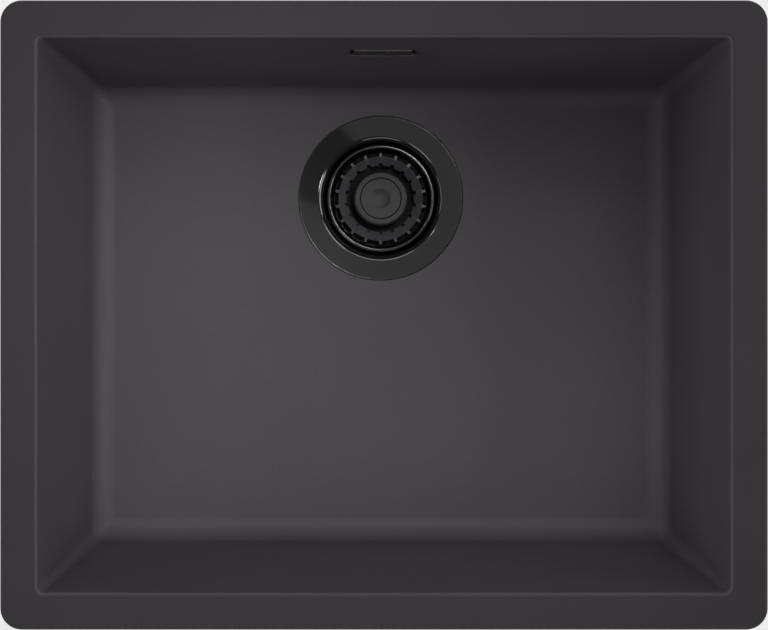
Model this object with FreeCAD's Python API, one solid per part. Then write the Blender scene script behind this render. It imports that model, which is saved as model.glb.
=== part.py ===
"""Single-bowl composite granite kitchen sink with its basket strainer waste and overflow.

Millimetres, +Z up, +X to the right, +Y to the back of the worktop.
The origin is the centre of the flat top face of the sink's flange.
Each make function below makes one piece, in its place in the assembly.
"""

import FreeCAD, Part
import math
import os

from FreeCAD import Vector

# Sink casting
sink_length = 500.0  # over the flange, left to right
sink_width = 410.0  # over the flange, front to back
sink_corner_r = 14.0
flange_width = 24.0  # from the outer edge to the mouth of the bowl
flange_thickness = 11.0
flange_edge_r = 1.5
rim_edge_r = 3.0  # roundover where the flange turns down into the bowl
bowl_depth = 195.0  # flange top to the floor at the drain
wall_draft = 5.0  # degrees
wall_thickness = 9.0
floor_thickness = 9.0  # at the drain
floor_fall = 0.6  # degrees, down to the back where the drain is
mouth_corner_r = 7.0  # upright corner of the bowl at its mouth
floor_fillet_r = 17.0
floor_corner_extra = 3.0  # upright corner at the floor, over the floor fillet
underside_fillet_r = 4.0  # bowl to the underside of the flange

# Drain hole and its seats
drain_land = 2.1  # flat floor between the strainer and the back wall's fillet
drain_hole_gap = 1.3  # round the strainer's cup
drain_boss_margin = 7.0  # round the waste body's flange
drain_boss_height = 1.0
seat_gap = 0.1  # left between pieces that are clamped on tapered or curved seats

# Strainer: the flanged cup that is clamped in the drain hole
strainer_r = 60.0
strainer_sheet = 1.5
strainer_edge_r = 0.5
strainer_dish = 8.0  # degrees, slope of the flange down to the cup
strainer_recess_gap = 0.8  # ring of play round the flange in the floor
strainer_bend_r = 3.5
cup_r = 42.5
cup_wall = 1.2
cup_depth = 36.0
cup_corner_r = 6.0
cup_taper = 1.5  # how much narrower the cup is at its floor
cup_hole_r = 4.5
cup_hole_count = 8
cup_hole_circle_r = 17.0
flange_gasket_thickness = 1.0
flange_gasket_inset = 2.0  # from the drain hole
flange_gasket_margin = 2.5  # from the strainer flange's edge

# Clamp screw, whose tall round head is the post that the plug sits on
screw_r = 3.0
screw_gap = 0.3
screw_past_insert = 1.5
screw_tip_gap = 1.5  # under the screw in the hub's blind hole
post_r = 5.0
post_chamfer = 1.0
post_groove_depth = 0.6
post_groove_width = 2.4
post_slot_width = 1.4
post_slot_depth = 2.0
washer_width = 5.0
washer_thickness = 1.0

# Waste body under the sink
body_gasket_thickness = 3.0
body_gasket_inset = 1.0  # from the drain hole
body_gasket_width = 9.0
body_gasket_edge_r = 0.75
body_flange_margin = 2.0  # round the gasket
body_flange_thickness = 4.0
body_gap = 2.8  # between the cup and the body
body_wall = 3.0
body_edge_r = 1.0
body_fillet_r = 2.0
body_shoulder_r = 6.0
body_below_cup = 14.0  # clear height between the cup and the body's sloping floor
body_cone_height = 9.0
outlet_r = 23.9  # over the crest of the outlet's pipe thread
outlet_wall = 3.9
outlet_length = 24.0
outlet_thread_length = 18.0
outlet_relief = 0.75  # plain neck above the thread
hub_wall = 4.0
hub_gap = 2.0  # between the cup's floor and the hub that draws it down
hub_floor = 5.0  # closed end of the hub under the screw
rib_thickness = 3.0
rib_count = 4
insert_wall = 2.0
insert_length = 12.0
thread_gap = 0.05  # between a screw and the thread that it turns in

# Overflow branch of the waste body
branch_wall = 4.7
branch_reach = 64.0  # end of the branch from the drain's axis
branch_thread_length = 11.0
branch_collar_height = 2.0
branch_floor_gap = 2.0  # between the branch's bore and the body's sloping floor
nut_wall = 4.5
nut_end_wall = 3.0
nut_edge_r = 1.0
nut_flange_gap = 2.0  # under the waste body's flange
nut_collar_gap = 0.5
nut_grip_count = 12
nut_grip_r = 1.6
seal_width = 4.0
pipe_gap = 0.3

# Overflow pipe
pipe_r = 8.5
pipe_wall = 1.5
pipe_straight = 6.0  # between the nut and the bend
pipe_into_branch = 14.0

# Overflow opening in the back wall
overflow_depth = 55.5  # centre of the slot below the flange top
slot_length = 45.0
slot_height = 21.0
slot_corner_r = 3.0
pocket_margin = 4.0  # shallow pocket round the slot
pocket_depth = 0.9
wall_pad_margin = 9.0  # flat pad outside the wall, round the slot
wall_pad_height = 0.8  # over the wall at the pad's upper edge
overflow_gasket_thickness = 1.5
elbow_flange_margin = 6.5
elbow_flange_thickness = 3.0
elbow_wall = 2.0
elbow_edge_r = 2.0
elbow_neck_wall = 1.2
elbow_neck_gap = 2.0  # between the pad and the top of the pipe
spigot_length = 22.0
spigot_gap = 0.2
spigot_ring_minor_r = 0.72
spigot_ring_height = 7.3  # above the spigot's end

# Overflow cover, held by one screw through the slot
cover_end_gap = 3.0
cover_gap_below = 6.0
cover_thickness = 2.4
cover_corner_r = 1.2
cover_edge_r = 0.6
cover_proud = 0.8  # stands out from the wall at its upper edge
cover_sleeve_wall = 2.2
cover_screw_r = 2.5
cover_head_rise = 1.9  # countersunk head beyond its shank
cover_head_height = 1.8
cover_slot_width = 1.0
cover_slot_depth = 0.9
cover_nut_wall = 1.0
cover_nut_length = 8.0

# Plug under the basket
running_gap = 0.05  # turning fit on the plug's stem
lift_gap = 0.3  # between the plug and what it sits on
seal_r = 29.0
seal_thickness = 3.0
seal_lip_width = 2.0
seal_lip_slant = 1.0
seal_edge_r = 0.6
stem_wall = 2.85
stem_flange_width = 6.0
stem_flange_thickness = 1.5
stem_edge_r = 0.5
stem_head = 6.8  # solid top of the stem, which the knob's screw turns in
stem_bore_gap = 0.15
detent_minor_r = 0.65

# Basket with its rolled rim
basket_rim_gap = 3.1  # inside the cup
basket_rim_bead = 2.6
basket_rim_outer_r = 1.2
basket_rim_inner_r = 0.85
basket_sheet = 1.0
basket_corner_r = 1.2
basket_below_floor = 4.0  # rim under the floor of the bowl
basket_slot_count = 36
basket_slot_width = 2.4
basket_slot_height = 12.0
basket_hole_r = 1.1
basket_rib_gap = 1.6  # inside the basket's wall

# Fluted ring inside the basket
flute_count = 18
flute_moat = 2.9  # between the basket's rim and the ribs
flute_stub = 2.5  # ribs beyond the petals
flute_rib_width = 2.4
petal_length = 7.2
petal_slope = 1.6  # fall of a petal to its inner edge
petal_edge_r = 0.8
petal_deck = 2.5
petal_outer_wall = 1.6
petal_inner_wall = 1.8
petal_notch_width = 2.6
petal_window_width = 2.6
flute_base_thickness = 2.0
flute_below_floor = 11.0  # top of the fluted ring under the floor of the bowl
rib_below_petal = 0.8
rib_chamfer = 0.4

# Knob and its cap
knob_moat = 4.0  # between the knob and the petals
knob_height = 7.0
knob_below_floor = 5.0
knob_edge_r = 2.2
knob_lip_r = 0.6
knob_under_slope = 2.0
knob_neck_wall = 4.0
knob_ring_width = 5.2
knob_recess_depth = 3.2
knob_web = 4.5  # between the screw's head and the stem
cap_gap = 0.15
cap_thickness = 2.2
cap_edge_r = 0.5
cap_dimple_r = 7.4
cap_dimple_depth = 0.9
knob_screw_r = 2.0
knob_screw_head_r = 3.6
knob_screw_head_height = 2.2
knob_screw_edge_r = 0.5
knob_screw_tip_gap = 1.5  # between the screw's tip and the stem's bore

cut_over = 1.0  # how far a cutter runs past what it cuts

# Places that follow from the sizes: sink and drain
mouth_length = sink_length - 2 * flange_width
mouth_width = sink_width - 2 * flange_width
draft_tan = math.tan(math.radians(wall_draft))
wall_level = wall_thickness / math.cos(math.radians(wall_draft))
fall_tan = math.tan(math.radians(floor_fall))
floor_corner_r = floor_fillet_r + floor_corner_extra
floor_z = -bowl_depth
underside_z = floor_z - floor_thickness
recess_r = strainer_r + strainer_recess_gap
drain_y = mouth_width / 2 - bowl_depth * draft_tan - floor_fillet_r - drain_land - recess_r
drain_axis = Vector(0, drain_y, 0)
dish_tan = math.tan(math.radians(strainer_dish))
cup_outer_r = cup_r + cup_wall
drain_hole_r = cup_outer_r + drain_hole_gap
cup_floor_z = floor_z - cup_depth
cup_under_z = cup_floor_z - cup_wall
screw_hole_r = screw_r + screw_gap

# Places that follow from the sizes: waste body, branch and overflow
body_seat_z = underside_z - drain_boss_height
body_top_z = body_seat_z - body_gasket_thickness
body_flange_z = body_top_z - body_flange_thickness
body_gasket_inner_r = drain_hole_r + body_gasket_inset
body_gasket_outer_r = body_gasket_inner_r + body_gasket_width
body_flange_r = body_gasket_outer_r + body_flange_margin
body_inner_r = cup_outer_r + body_gap
body_outer_r = body_inner_r + body_wall
branch_bore_r = pipe_r + pipe_gap
branch_r = branch_bore_r + branch_wall
nut_r = branch_r + nut_wall
branch_z = body_flange_z - nut_flange_gap - nut_r
branch_end_y = drain_y + branch_reach
nut_start_y = branch_end_y - branch_thread_length
nut_end_y = branch_end_y + seal_width + nut_end_wall
body_cone_z = min(cup_under_z - body_below_cup, branch_z - branch_bore_r - branch_floor_gap)
outlet_bore_r = outlet_r - outlet_wall
outlet_top_z = body_cone_z - body_cone_height
outlet_end_z = outlet_top_z - outlet_length
hub_top_z = cup_under_z - hub_gap
insert_end_z = hub_top_z - insert_length
screw_end_z = insert_end_z - screw_past_insert
hub_hole_z = screw_end_z - screw_tip_gap
hub_end_z = hub_hole_z - hub_floor
insert_r = screw_r + insert_wall
overflow_z = -overflow_depth
pad_length = slot_length + 2 * wall_pad_margin
pad_height = slot_height + 2 * wall_pad_margin
elbow_length = slot_length + 2 * elbow_flange_margin
elbow_height = slot_height + 2 * elbow_flange_margin
pad_top_depth = overflow_depth - pad_height / 2
pad_y = mouth_width / 2 - pad_top_depth * draft_tan + wall_level + wall_pad_height
elbow_y = pad_y + overflow_gasket_thickness
spigot_r = pipe_r - pipe_wall - spigot_gap
throat_r = spigot_r - pipe_wall
pipe_y = elbow_y + elbow_neck_wall + throat_r
elbow_back_y = pipe_y + pipe_r
pipe_top_z = overflow_z - pad_height / 2 - elbow_neck_gap
pipe_axis = Vector(0, pipe_y, 0)
pipe_bend_r = pipe_y - nut_end_y - pipe_straight
spigot_end_z = pipe_top_z - spigot_length
spigot_ring_z = spigot_end_z + spigot_ring_height
cover_length = slot_length - 2 * cover_end_gap
cover_height = slot_height - cover_gap_below - seat_gap
cover_z = overflow_z + slot_height / 2 - seat_gap - cover_height / 2
cover_y = mouth_width / 2 - (overflow_depth - slot_height / 2) * draft_tan - cover_proud
cover_hole_r = cover_screw_r + screw_gap
cover_sleeve_r = cover_hole_r + cover_sleeve_wall
cover_head_r = cover_screw_r + cover_head_rise
cover_nut_r = cover_screw_r + cover_nut_wall

# Places that follow from the sizes: plug, basket and knob
basket_rim_r = cup_r - basket_rim_gap
basket_mouth_r = basket_rim_r - basket_rim_bead
rib_r = basket_mouth_r - flute_moat
petal_outer_r = rib_r - flute_stub
petal_inner_r = petal_outer_r - petal_length
petal_notch_r = petal_inner_r + petal_inner_wall
knob_r = petal_inner_r - knob_moat
knob_recess_r = knob_r - knob_ring_width
basket_floor_r = rib_r + basket_rib_gap + basket_sheet
washer_r = screw_r + washer_width
washer_top_z = cup_floor_z + washer_thickness
stem_bore_r = post_r + stem_bore_gap
stem_r = stem_bore_r + stem_wall
turning_r = stem_r + running_gap
stem_flange_r = stem_r + stem_flange_width
stem_bottom_z = washer_top_z + lift_gap
seal_bottom_z = stem_bottom_z + stem_flange_thickness
seal_top_z = seal_bottom_z + seal_thickness
basket_floor_z = seal_top_z + lift_gap
flute_base_z = basket_floor_z + basket_sheet
knob_base_z = flute_base_z + flute_base_thickness
basket_rim_z = floor_z - basket_below_floor
flute_top_z = floor_z - flute_below_floor
knob_top_z = floor_z - knob_below_floor
cap_seat_z = knob_top_z - knob_recess_depth
knob_screw_z = cap_seat_z - knob_screw_head_height
stem_top_z = knob_screw_z - knob_web
stem_bore_top_z = stem_top_z - stem_head
post_top_z = stem_bore_top_z - lift_gap
detent_z = (post_top_z + washer_top_z) / 2
knob_screw_end_z = stem_bore_top_z + knob_screw_tip_gap


def rounded_corner(before, corner, after, radius):
    """Start, arc and end of the tangent arc that rounds a corner; a sharp corner has no arc."""
    if radius <= 0:
        return corner, [], corner
    back = (before - corner).normalize()
    onward = (after - corner).normalize()
    half_angle = back.getAngle(onward) / 2
    reach = radius / math.tan(half_angle)
    start = corner + back * reach
    end = corner + onward * reach
    middle = corner + (back + onward).normalize() * (radius / math.sin(half_angle) - radius)
    return start, [Part.Arc(start, middle, end).toShape()], end


def outline(corners):
    """Closed wire through (point, radius) corners."""
    points = [point for point, radius in corners]
    count = len(points)
    rounded = []
    for i, (point, radius) in enumerate(corners):
        rounded.append(rounded_corner(points[i - 1], point, points[(i + 1) % count], radius))
    edges = []
    for i, (start, arc, end) in enumerate(rounded):
        next_start = rounded[(i + 1) % count][0]
        edges += arc
        if not end.isEqual(next_start, 1e-6):
            edges.append(Part.LineSegment(end, next_start).toShape())
    return Part.Wire(edges)


def rectangle(length, width, corner_r, z):
    """Rounded rectangle about the Z axis, at height z."""
    x = length / 2
    y = width / 2
    points = [Vector(x, y, z), Vector(-x, y, z), Vector(-x, -y, z), Vector(x, -y, z)]
    return outline([(point, corner_r) for point in points])


def upright_slab(length, height, corner_r, y_front, y_back):
    """Slab with rounded corners about the overflow's centre, facing the front."""
    x = length / 2
    low = overflow_z - height / 2
    high = overflow_z + height / 2
    places = [(x, high), (-x, high), (-x, low), (x, low)]
    wire = outline([(Vector(px, y_front, pz), corner_r) for px, pz in places])
    return Part.Face(wire).extrude(Vector(0, y_back - y_front, 0))


def turned(corners, axis=drain_axis):
    """Solid turned about an upright axis from (radius, z, corner radius) corners."""
    wire = outline([(Vector(r, 0, z), corner_r) for r, z, corner_r in corners])
    solid = Part.Face(wire).revolve(Vector(0, 0, 0), Vector(0, 0, 1), 360)
    solid.translate(axis)
    return solid


def disc(radius, z_low, z_high, axis=drain_axis):
    """Upright cylinder."""
    return Part.makeCylinder(radius, z_high - z_low, axis + Vector(0, 0, z_low))


def ring(inner_r, outer_r, z_low, z_high, axis=drain_axis):
    """Upright tube."""
    return disc(outer_r, z_low, z_high, axis).cut(disc(inner_r, z_low, z_high, axis))


def along_y(radius, y_low, y_high, z):
    """Cylinder that lies front to back in the middle of the sink."""
    return Part.makeCylinder(radius, y_high - y_low, Vector(0, y_low, z), Vector(0, 1, 0))


def spoke(r_low, r_high, width, z_low, z_high):
    """Upright bar that runs out from the drain's axis along +X."""
    bar = Part.makeBox(r_high - r_low, width, z_high - z_low)
    bar.translate(drain_axis + Vector(r_low, -width / 2, z_low))
    return bar


def round_pattern(tool, count, first=0.0):
    """Copies of a tool, evenly turned about the drain's axis."""
    copies = []
    for i in range(count):
        copy = tool.copy()
        copy.rotate(drain_axis, Vector(0, 0, 1), first + 360.0 * i / count)
        copies.append(copy)
    return copies


def edges_where(shape, test):
    """Edges on which every sampled point passes the test."""
    return [edge for edge in shape.Edges if all(test(point) for point in edge.discretize(5))]


def near(value, target):
    """True where two sizes agree to a hundredth of a millimetre."""
    return abs(value - target) < 0.01


def bowl_section(depth, grow):
    """Rounded rectangle of the bowl at a depth, grown outwards for the outer skin."""
    inset = 2 * depth * draft_tan
    corner_r = mouth_corner_r + (floor_corner_r - mouth_corner_r) * depth / bowl_depth
    length = mouth_length - inset + 2 * grow
    width = mouth_width - inset + 2 * grow
    return rectangle(length, width, corner_r + grow, -depth)


def inner_wall_y(depth):
    """Back wall's inner face at a depth below the flange top."""
    return mouth_width / 2 - depth * draft_tan


def floor_height(y):
    """The sloping floor's height at a place from front to back."""
    return floor_z + (drain_y - y) * fall_tan


def bowl_cavity():
    """The hollow of the bowl, with its sloping floor and floor fillet."""
    below = bowl_depth + floor_thickness
    hollow = Part.makeLoft([bowl_section(0, 0), bowl_section(below, 0)], True, True)
    slab = Part.makeBox(sink_length, sink_width, below)
    slab.translate(Vector(-sink_length / 2, -sink_width / 2, -below))
    slab.rotate(Vector(0, 0, 0), Vector(1, 0, 0), -floor_fall)
    slab.translate(Vector(0, 0, floor_height(0)))
    hollow = hollow.cut(slab)
    floor_edges = edges_where(hollow, lambda p: near(p.z, floor_height(p.y)))
    return hollow.makeFillet(floor_fillet_r, floor_edges)


def bowl_outside():
    """The outside of the bowl under the flange, with its rounded underside."""
    top = bowl_section(flange_thickness / 2, wall_level)
    bottom = bowl_section(-underside_z, wall_level)
    block = Part.makeLoft([top, bottom], True, True)
    low_edges = edges_where(block, lambda p: near(p.z, underside_z))
    return block.makeFillet(floor_fillet_r + wall_thickness, low_edges)


def flange_plate():
    """The flat flange, before the bowl is let into it."""
    plate = Part.Face(rectangle(sink_length, sink_width, sink_corner_r, -flange_thickness))
    plate = plate.extrude(Vector(0, 0, flange_thickness))
    edges = edges_where(plate, lambda p: near(p.z, 0) or near(p.z, -flange_thickness))
    return plate.makeFillet(flange_edge_r, edges)


def strainer_line(r, drop):
    """Height of the dished strainer flange, or of what lies a drop below it, at radius r."""
    return floor_z - drop - (strainer_r - r) * dish_tan


def drain_recess():
    """Cutter for the tapered seat of the strainer flange and the drain hole."""
    seat = strainer_sheet + flange_gasket_thickness + seat_gap
    above = floor_z + floor_fillet_r
    below = body_seat_z - cut_over
    return turned(
        [
            (0, above, 0),
            (recess_r, above, 0),
            (recess_r, strainer_line(recess_r, seat), 0),
            (drain_hole_r, strainer_line(drain_hole_r, seat), 0),
            (drain_hole_r, below, 0),
            (0, below, 0),
        ]
    )


def make_sink_bowl():
    """One casting: flange, bowl, drain seat, and the slot and pad of the overflow."""
    body = flange_plate().fuse(bowl_outside())
    inside_flange = sink_width / 2 - flange_edge_r - cut_over

    def under_flange(p):
        return near(p.z, -flange_thickness) and abs(p.y) < inside_flange

    side_reach = sink_length / 2 - flange_edge_r - cut_over
    joint = [e for e in edges_where(body, under_flange) if abs(e.CenterOfMass.x) < side_reach]
    body = body.makeFillet(underside_fillet_r, joint)
    pad_start_y = inner_wall_y(overflow_depth) + wall_level / 2
    pad = upright_slab(pad_length, pad_height, 2 * slot_corner_r, pad_start_y, pad_y)
    boss = disc(body_flange_r + drain_boss_margin, body_seat_z, floor_z - floor_thickness / 2)
    body = body.fuse([pad, boss]).cut(bowl_cavity())
    mouth_reach = mouth_width / 2 + cut_over
    rim = edges_where(body, lambda p: near(p.z, 0) and abs(p.y) < mouth_reach)
    rim = [e for e in rim if abs(e.CenterOfMass.x) < mouth_length / 2 + cut_over]
    body = body.makeFillet(rim_edge_r, rim)
    slot = upright_slab(slot_length, slot_height, slot_corner_r, 0, pad_y + cut_over)
    pocket_y = inner_wall_y(overflow_depth) + pocket_depth
    pocket_length = slot_length + 2 * pocket_margin
    pocket_height = slot_height + 2 * pocket_margin
    pocket = upright_slab(pocket_length, pocket_height, slot_corner_r + pocket_margin, 0, pocket_y)
    return body.cut([slot, pocket, drain_recess()]).removeSplitter()


def make_strainer_cup():
    """Pressed cup with a dished flange and a perforated floor."""
    cup = turned(
        [
            (strainer_r, floor_z, strainer_edge_r),
            (cup_r, strainer_line(cup_r, 0), strainer_bend_r),
            (cup_r - cup_taper, cup_floor_z, cup_corner_r),
            (screw_hole_r, cup_floor_z, 0),
            (screw_hole_r, cup_under_z, 0),
            (cup_outer_r - cup_taper, cup_under_z, cup_corner_r + cup_wall),
            (cup_outer_r, strainer_line(cup_outer_r, strainer_sheet), strainer_bend_r - cup_wall),
            (strainer_r, floor_z - strainer_sheet, 0),
        ]
    )
    hole = disc(cup_hole_r, cup_under_z - cut_over, cup_floor_z + cut_over)
    hole.translate(Vector(cup_hole_circle_r, 0, 0))
    return cup.cut(round_pattern(hole, cup_hole_count))


def make_flange_gasket():
    """Soft ring between the strainer flange and its seat in the floor."""
    inner = drain_hole_r + flange_gasket_inset
    outer = strainer_r - flange_gasket_margin
    low = strainer_sheet + flange_gasket_thickness
    return turned(
        [
            (inner, strainer_line(inner, strainer_sheet), 0),
            (outer, strainer_line(outer, strainer_sheet), 0),
            (outer, strainer_line(outer, low), 0),
            (inner, strainer_line(inner, low), 0),
        ]
    )


def make_clamp_screw():
    """Screw that draws the cup and the waste body together, with a grooved post for a head."""
    groove_r = post_r - post_groove_depth
    wide = post_groove_width / 2
    narrow = wide - post_groove_depth
    screw = turned(
        [
            (0, post_top_z, 0),
            (post_r, post_top_z, post_chamfer),
            (post_r, detent_z + wide, 0),
            (groove_r, detent_z + narrow, 0),
            (groove_r, detent_z - narrow, 0),
            (post_r, detent_z - wide, 0),
            (post_r, washer_top_z, 0),
            (screw_r, washer_top_z, 0),
            (screw_r, screw_end_z, screw_r / 4),
            (0, screw_end_z, 0),
        ]
    )
    return screw.cut(spoke(-post_r, post_r, post_slot_width, post_top_z - post_slot_depth, post_top_z))


def make_screw_washer():
    """Washer under the clamp screw's post."""
    return ring(screw_hole_r, washer_r, cup_floor_z, washer_top_z)


def make_body_gasket():
    """Thick ring between the underside of the sink and the waste body."""
    return turned(
        [
            (body_gasket_inner_r, body_top_z, 0),
            (body_gasket_outer_r, body_top_z, body_gasket_edge_r),
            (body_gasket_outer_r, body_seat_z, body_gasket_edge_r),
            (body_gasket_inner_r, body_seat_z, 0),
        ]
    )


def body_shell():
    """Collecting bowl of the waste body, with its flange and threaded outlet."""
    neck_r = outlet_r - outlet_relief
    neck_top_z = outlet_top_z - body_wall
    thread_top_z = outlet_end_z + outlet_thread_length
    return turned(
        [
            (body_inner_r, body_top_z, 0),
            (body_flange_r, body_top_z, 0),
            (body_flange_r, body_flange_z, body_edge_r),
            (body_outer_r, body_flange_z, body_fillet_r),
            (body_outer_r, body_cone_z - body_wall, body_shoulder_r),
            (outlet_r + body_wall, neck_top_z, body_fillet_r),
            (neck_r, neck_top_z, 0),
            (neck_r, thread_top_z, 0),
            (outlet_r, thread_top_z, 0),
            (outlet_r, outlet_end_z, body_edge_r),
            (outlet_bore_r, outlet_end_z, 0),
            (outlet_bore_r, outlet_top_z, body_fillet_r),
            (body_inner_r, body_cone_z, body_wall),
        ]
    )


def body_spider():
    """Hub for the clamp screw and its ribs, which run into half the housing's wall."""
    half = body_wall / 2
    room = turned(
        [
            (0, body_top_z, 0),
            (body_inner_r + half, body_top_z, 0),
            (body_inner_r + half, body_cone_z, 0),
            (outlet_bore_r + half, outlet_top_z - half, 0),
            (outlet_bore_r + half, outlet_end_z, 0),
            (0, outlet_end_z, 0),
        ]
    )
    hub = disc(insert_r + hub_wall, hub_end_z, hub_top_z)
    rib = spoke(0, body_outer_r, rib_thickness, hub_end_z, hub_top_z)
    spider = hub.fuse(round_pattern(rib, rib_count, 180.0 / rib_count)).common(room)
    insert_seat = disc(insert_r, insert_end_z, hub_top_z)
    return spider.cut([insert_seat, disc(screw_hole_r, hub_hole_z, hub_top_z)])


def make_waste_body():
    """Moulded housing: collecting bowl, ribbed hub, threaded outlet and overflow branch."""
    branch = along_y(branch_r, drain_y + body_inner_r, branch_end_y, branch_z)
    collar_end_y = nut_start_y - nut_collar_gap
    collar_r = branch_r + branch_collar_height
    collar = along_y(collar_r, drain_y + body_inner_r, collar_end_y, branch_z)
    branch = branch.fuse(collar).cut(disc(body_inner_r, outlet_end_z, body_top_z))
    bore = along_y(branch_bore_r, drain_y, branch_end_y, branch_z)
    return body_shell().fuse(branch).cut(bore).fuse(body_spider()).removeSplitter()


def make_brass_insert():
    """Threaded bush moulded into the hub for the clamp screw."""
    return ring(screw_r + thread_gap, insert_r, insert_end_z, hub_top_z)


def make_overflow_cover():
    """Plate over the slot, with the sleeve that its screw runs through."""
    plate = upright_slab(
        cover_length, cover_height, cover_corner_r, cover_y, cover_y + cover_thickness
    )
    plate.translate(Vector(0, 0, cover_z - overflow_z))
    front_edges = edges_where(plate, lambda p: near(p.y, cover_y))
    plate = plate.makeFillet(cover_edge_r, front_edges)
    sleeve = along_y(cover_sleeve_r, cover_y + cover_thickness / 2, elbow_y, cover_z)
    hole = along_y(cover_hole_r, cover_y, elbow_y, cover_z)
    front = Vector(0, cover_y, cover_z)
    mouth_r = cover_head_r + screw_gap
    countersink_depth = cover_head_height + screw_gap
    countersink = Part.makeCone(mouth_r, cover_screw_r, countersink_depth, front, Vector(0, 1, 0))
    return plate.fuse(sleeve).cut([hole, countersink]).removeSplitter()


def make_overflow_screw():
    """Countersunk screw from the cover into the elbow."""
    head_y = cover_y + screw_gap / 2
    shank_y = head_y + cover_head_height
    front = Vector(0, head_y, cover_z)
    head = Part.makeCone(cover_head_r, cover_screw_r, cover_head_height, front, Vector(0, 1, 0))
    shank = along_y(cover_screw_r, shank_y, elbow_back_y - elbow_wall - screw_gap, cover_z)
    slot = Part.makeBox(2 * cover_head_r, cover_slot_depth, cover_slot_width)
    slot.translate(front - Vector(cover_head_r, 0, cover_slot_width / 2))
    return head.fuse(shank).cut(slot).removeSplitter()


def make_overflow_gasket():
    """Flat frame between the pad on the back wall and the elbow."""
    frame = upright_slab(elbow_length, elbow_height, 2 * slot_corner_r, pad_y, elbow_y)
    return frame.cut(upright_slab(slot_length, slot_height, slot_corner_r, pad_y, elbow_y))


def make_overflow_elbow():
    """Flat housing behind the slot, with a spigot that points down for the pipe."""
    flange_back_y = elbow_y + elbow_flange_thickness
    flange = upright_slab(elbow_length, elbow_height, 2 * slot_corner_r, elbow_y, flange_back_y)
    box_length = slot_length + 2 * elbow_wall
    box_height = slot_height + 2 * elbow_wall
    box = upright_slab(box_length, box_height, slot_corner_r + elbow_wall, elbow_y, elbow_back_y)
    box = box.makeFillet(elbow_edge_r, edges_where(box, lambda p: near(p.y, elbow_back_y)))
    back_y = elbow_back_y - elbow_wall
    channel = upright_slab(slot_length, slot_height, slot_corner_r, elbow_y, back_y)
    channel_floor_z = overflow_z - slot_height / 2
    neck = disc(spigot_r, pipe_top_z, channel_floor_z - elbow_wall / 2, pipe_axis)
    front = Part.makeBox(2 * spigot_r, elbow_y, -pipe_top_z, Vector(-spigot_r, 0, pipe_top_z))
    neck = neck.cut(front)
    spigot = disc(spigot_r, spigot_end_z, pipe_top_z, pipe_axis)
    throat = disc(throat_r, spigot_end_z, channel_floor_z + cut_over, pipe_axis)
    groove_r = spigot_r + spigot_gap - 2 * spigot_ring_minor_r - thread_gap
    half = spigot_ring_minor_r + thread_gap
    groove = ring(groove_r, spigot_r, spigot_ring_z - half, spigot_ring_z + half, pipe_axis)
    boss_y = elbow_y + seat_gap
    boss = along_y(cover_sleeve_r, boss_y, back_y, cover_z)
    nut_seat = along_y(cover_nut_r, boss_y, boss_y + cover_nut_length, cover_z)
    screw_hole = along_y(cover_hole_r, boss_y, back_y, cover_z)
    housing = flange.fuse([box, neck, spigot]).cut([channel, throat, groove])
    return housing.fuse(boss.cut([nut_seat, screw_hole])).removeSplitter()


def make_overflow_nut():
    """Threaded bush in the elbow for the cover's screw."""
    start_y = elbow_y + seat_gap
    outside = along_y(cover_nut_r, start_y, start_y + cover_nut_length, cover_z)
    thread = along_y(cover_screw_r + thread_gap, start_y, start_y + cover_nut_length, cover_z)
    return outside.cut(thread)


def make_spigot_ring():
    """Sealing ring on the elbow's spigot, inside the top of the pipe."""
    middle_r = pipe_r - pipe_wall - thread_gap / 2 - spigot_ring_minor_r
    return Part.makeTorus(middle_r, spigot_ring_minor_r, pipe_axis + Vector(0, 0, spigot_ring_z))


def make_overflow_pipe():
    """Moulded pipe down the back wall and forward to the waste body."""
    top = Vector(0, pipe_y, pipe_top_z)
    corner = Vector(0, pipe_y, branch_z)
    end = Vector(0, branch_end_y - pipe_into_branch, branch_z)
    bend_start, bend, bend_end = rounded_corner(top, corner, end, pipe_bend_r)
    drop = Part.LineSegment(top, bend_start).toShape()
    run = Part.LineSegment(bend_end, end).toShape()
    path = Part.Wire([drop] + bend + [run])
    skins = []
    for radius in (pipe_r, pipe_r - pipe_wall):
        circle = Part.Wire([Part.Circle(top, Vector(0, 0, 1), radius).toShape()])
        skins.append(path.makePipeShell([circle], True, False))
    return skins[0].cut(skins[1])


def make_branch_seal():
    """Rubber ring squeezed between the branch's end and its nut."""
    outside = along_y(branch_r - pipe_gap, branch_end_y, branch_end_y + seal_width, branch_z)
    inside = along_y(pipe_r + thread_gap, branch_end_y, branch_end_y + seal_width, branch_z)
    return outside.cut(inside)


def make_branch_nut():
    """Union nut with finger grips, on the thread of the branch."""
    outside = along_y(nut_r, nut_start_y, nut_end_y, branch_z)
    ends = edges_where(outside, lambda p: near(p.y, nut_end_y) or near(p.y, nut_start_y))
    outside = outside.makeFillet(nut_edge_r, ends)
    thread = along_y(branch_r + thread_gap, nut_start_y, nut_end_y - nut_end_wall, branch_z)
    hole = along_y(branch_bore_r, nut_start_y, nut_end_y, branch_z)
    grips = []
    for i in range(nut_grip_count):
        angle = 2 * math.pi * i / nut_grip_count
        grip = along_y(nut_grip_r, nut_start_y - cut_over, nut_end_y - nut_end_wall, branch_z)
        grip.translate(Vector(nut_r * math.cos(angle), 0, nut_r * math.sin(angle)))
        grips.append(grip)
    return outside.cut([thread, hole] + grips)


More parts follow.
